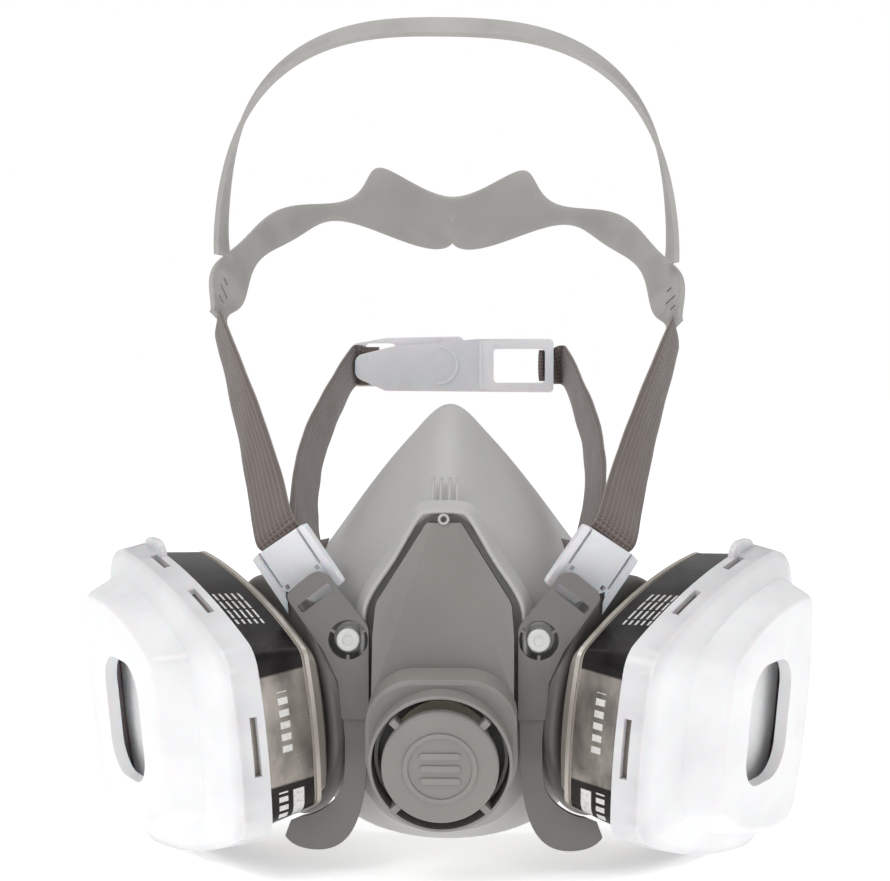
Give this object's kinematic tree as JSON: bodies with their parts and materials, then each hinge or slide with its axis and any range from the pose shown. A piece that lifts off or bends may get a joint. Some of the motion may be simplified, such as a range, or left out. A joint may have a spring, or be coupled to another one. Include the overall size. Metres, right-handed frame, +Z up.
{
  "type": "half-face respirator",
  "caption": "Reusable half-face respirator with soft face seal, exhalation valve, twist-on cartridges, prefilters with clip-on retainers, and a strap harness with cradle and clasp.",
  "frame": {"origin": "centre of the bounding box on the floor the respirator stands on", "axes": "+X to the viewer's right, -Y towards the viewer (front of the mask), +Z up"},
  "size_m": [0.2044, 0.1814, 0.2453],
  "materials": {
    "seal": "satin",
    "shell": "satin",
    "yoke": "satin",
    "stud": "satin",
    "buckle": "milky",
    "valve_rubber": "satin",
    "valve_seat": "satin",
    "gasket": "matte",
    "case": "metallic",
    "label": "foil",
    "carbon": "granular",
    "grille": "satin",
    "filter": "fibrous",
    "retainer": "milky",
    "webbing": "woven",
    "band": "satin"
  },
  "bodies": {
    "facepiece": {"face_seal": "seal", "front_shell": "shell", "valve_seat": "valve_seat", "left_port": "shell", "left_port_gasket": "gasket", "left_yoke": "yoke", "left_yoke_stud": "stud", "right_port": "shell", "right_port_gasket": "gasket", "right_yoke": "yoke", "right_yoke_stud": "stud"},
    "valve_cover": {"valve_cover": "shell"},
    "exhalation_valve": {"exhalation_valve": "valve_rubber"},
    "head_harness": {"left_head_strap": "webbing", "right_head_strap": "webbing", "rear_band": "band"},
    "crown_band": {"crown_band": "band"},
    "neck_harness": {"left_neck_strap": "webbing", "right_neck_strap": "webbing", "clasp_left": "buckle"},
    "clasp_hook": {"clasp_right": "buckle"},
    "left_inhalation_valve": {"left_inhalation_valve": "valve_rubber"},
    "left_buckle": {"left_strap_buckle": "buckle"},
    "left_cartridge": {"left_cartridge_case": "case", "left_cartridge_back": "case", "left_cartridge_label": "label", "left_carbon_bed": "carbon", "left_inlet_grille": "grille"},
    "left_prefilter": {"left_prefilter": "filter"},
    "left_retainer": {"left_retainer": "retainer"},
    "right_inhalation_valve": {"right_inhalation_valve": "valve_rubber"},
    "right_buckle": {"right_strap_buckle": "buckle"},
    "right_cartridge": {"right_cartridge_case": "case", "right_cartridge_back": "case", "right_cartridge_label": "label", "right_carbon_bed": "carbon", "right_inlet_grille": "grille"},
    "right_prefilter": {"right_prefilter": "filter"},
    "right_retainer": {"right_retainer": "retainer"}
  },
  "joints": [
    {"name": "valve_cover_lift", "type": "slide", "parent": "facepiece", "child": "valve_cover", "axis": [0, -0.9763, -0.2164], "range_m": [0, 0.03]},
    {"name": "exhalation_valve_lift", "type": "slide", "parent": "facepiece", "child": "exhalation_valve", "axis": [0, -0.9763, -0.2164], "range_m": [0, 0.0015], "stiffness_N_per_m": 30},
    {"name": "left_inhalation_valve_lift", "type": "slide", "parent": "facepiece", "child": "left_inhalation_valve", "axis": [0.8544, 0.5013, 0.1366], "range_m": [0, 0.0012], "stiffness_N_per_m": 30},
    {"name": "left_cartridge_twist", "type": "hinge", "parent": "facepiece", "child": "left_cartridge", "pos_m": [-0.0488, -0.03536, 0.044], "axis": [-0.8544, -0.5013, -0.1366], "range_deg": [0, 18]},
    {"name": "left_retainer_lift", "type": "slide", "parent": "left_cartridge", "child": "left_retainer", "axis": [-0.8544, -0.5013, -0.1366], "range_m": [0, 0.06]},
    {"name": "left_prefilter_lift", "type": "slide", "parent": "left_cartridge", "child": "left_prefilter", "axis": [-0.8544, -0.5013, -0.1366], "range_m": [0, 0.03]},
    {"name": "left_buckle_tilt", "type": "hinge", "parent": "facepiece", "child": "left_buckle", "pos_m": [-0.0343, -0.05356, 0.074], "axis": [-0.779, 0.342, -0.5255], "range_deg": [0, 8]},
    {"name": "right_inhalation_valve_lift", "type": "slide", "parent": "facepiece", "child": "right_inhalation_valve", "axis": [-0.8544, 0.5013, 0.1366], "range_m": [0, 0.0012], "stiffness_N_per_m": 30},
    {"name": "right_cartridge_twist", "type": "hinge", "parent": "facepiece", "child": "right_cartridge", "pos_m": [0.0488, -0.03536, 0.044], "axis": [-0.8544, 0.5013, 0.1366], "range_deg": [0, 18]},
    {"name": "right_retainer_lift", "type": "slide", "parent": "right_cartridge", "child": "right_retainer", "axis": [0.8544, -0.5013, -0.1366], "range_m": [0, 0.06]},
    {"name": "right_prefilter_lift", "type": "slide", "parent": "right_cartridge", "child": "right_prefilter", "axis": [0.8544, -0.5013, -0.1366], "range_m": [0, 0.03]},
    {"name": "right_buckle_tilt", "type": "hinge", "parent": "facepiece", "child": "right_buckle", "pos_m": [0.0343, -0.05356, 0.074], "axis": [-0.779, -0.342, 0.5255], "range_deg": [0, 8]},
    {"name": "head_harness_swing", "type": "hinge", "parent": "facepiece", "child": "head_harness", "pos_m": [0, -0.05096, 0.091], "axis": [1, 0, 0], "range_deg": [-3, 10]},
    {"name": "crown_band_fold", "type": "hinge", "parent": "head_harness", "child": "crown_band", "pos_m": [0, 0.03464, 0.1715], "axis": [1, 0, 0], "range_deg": [-3, 12]},
    {"name": "neck_harness_swing", "type": "hinge", "parent": "facepiece", "child": "neck_harness", "pos_m": [0, -0.04576, 0.0885], "axis": [1, 0, 0], "range_deg": [-14, 2]},
    {"name": "clasp_release", "type": "slide", "parent": "neck_harness", "child": "clasp_hook", "axis": [0, -1, 0], "range_m": [0, 0.01]}
  ],
  "couplings": [
    {"joint": "left_prefilter_lift", "follows": "left_retainer_lift", "ratio": 0.5},
    {"joint": "right_prefilter_lift", "follows": "right_retainer_lift", "ratio": 0.5}
  ]
}
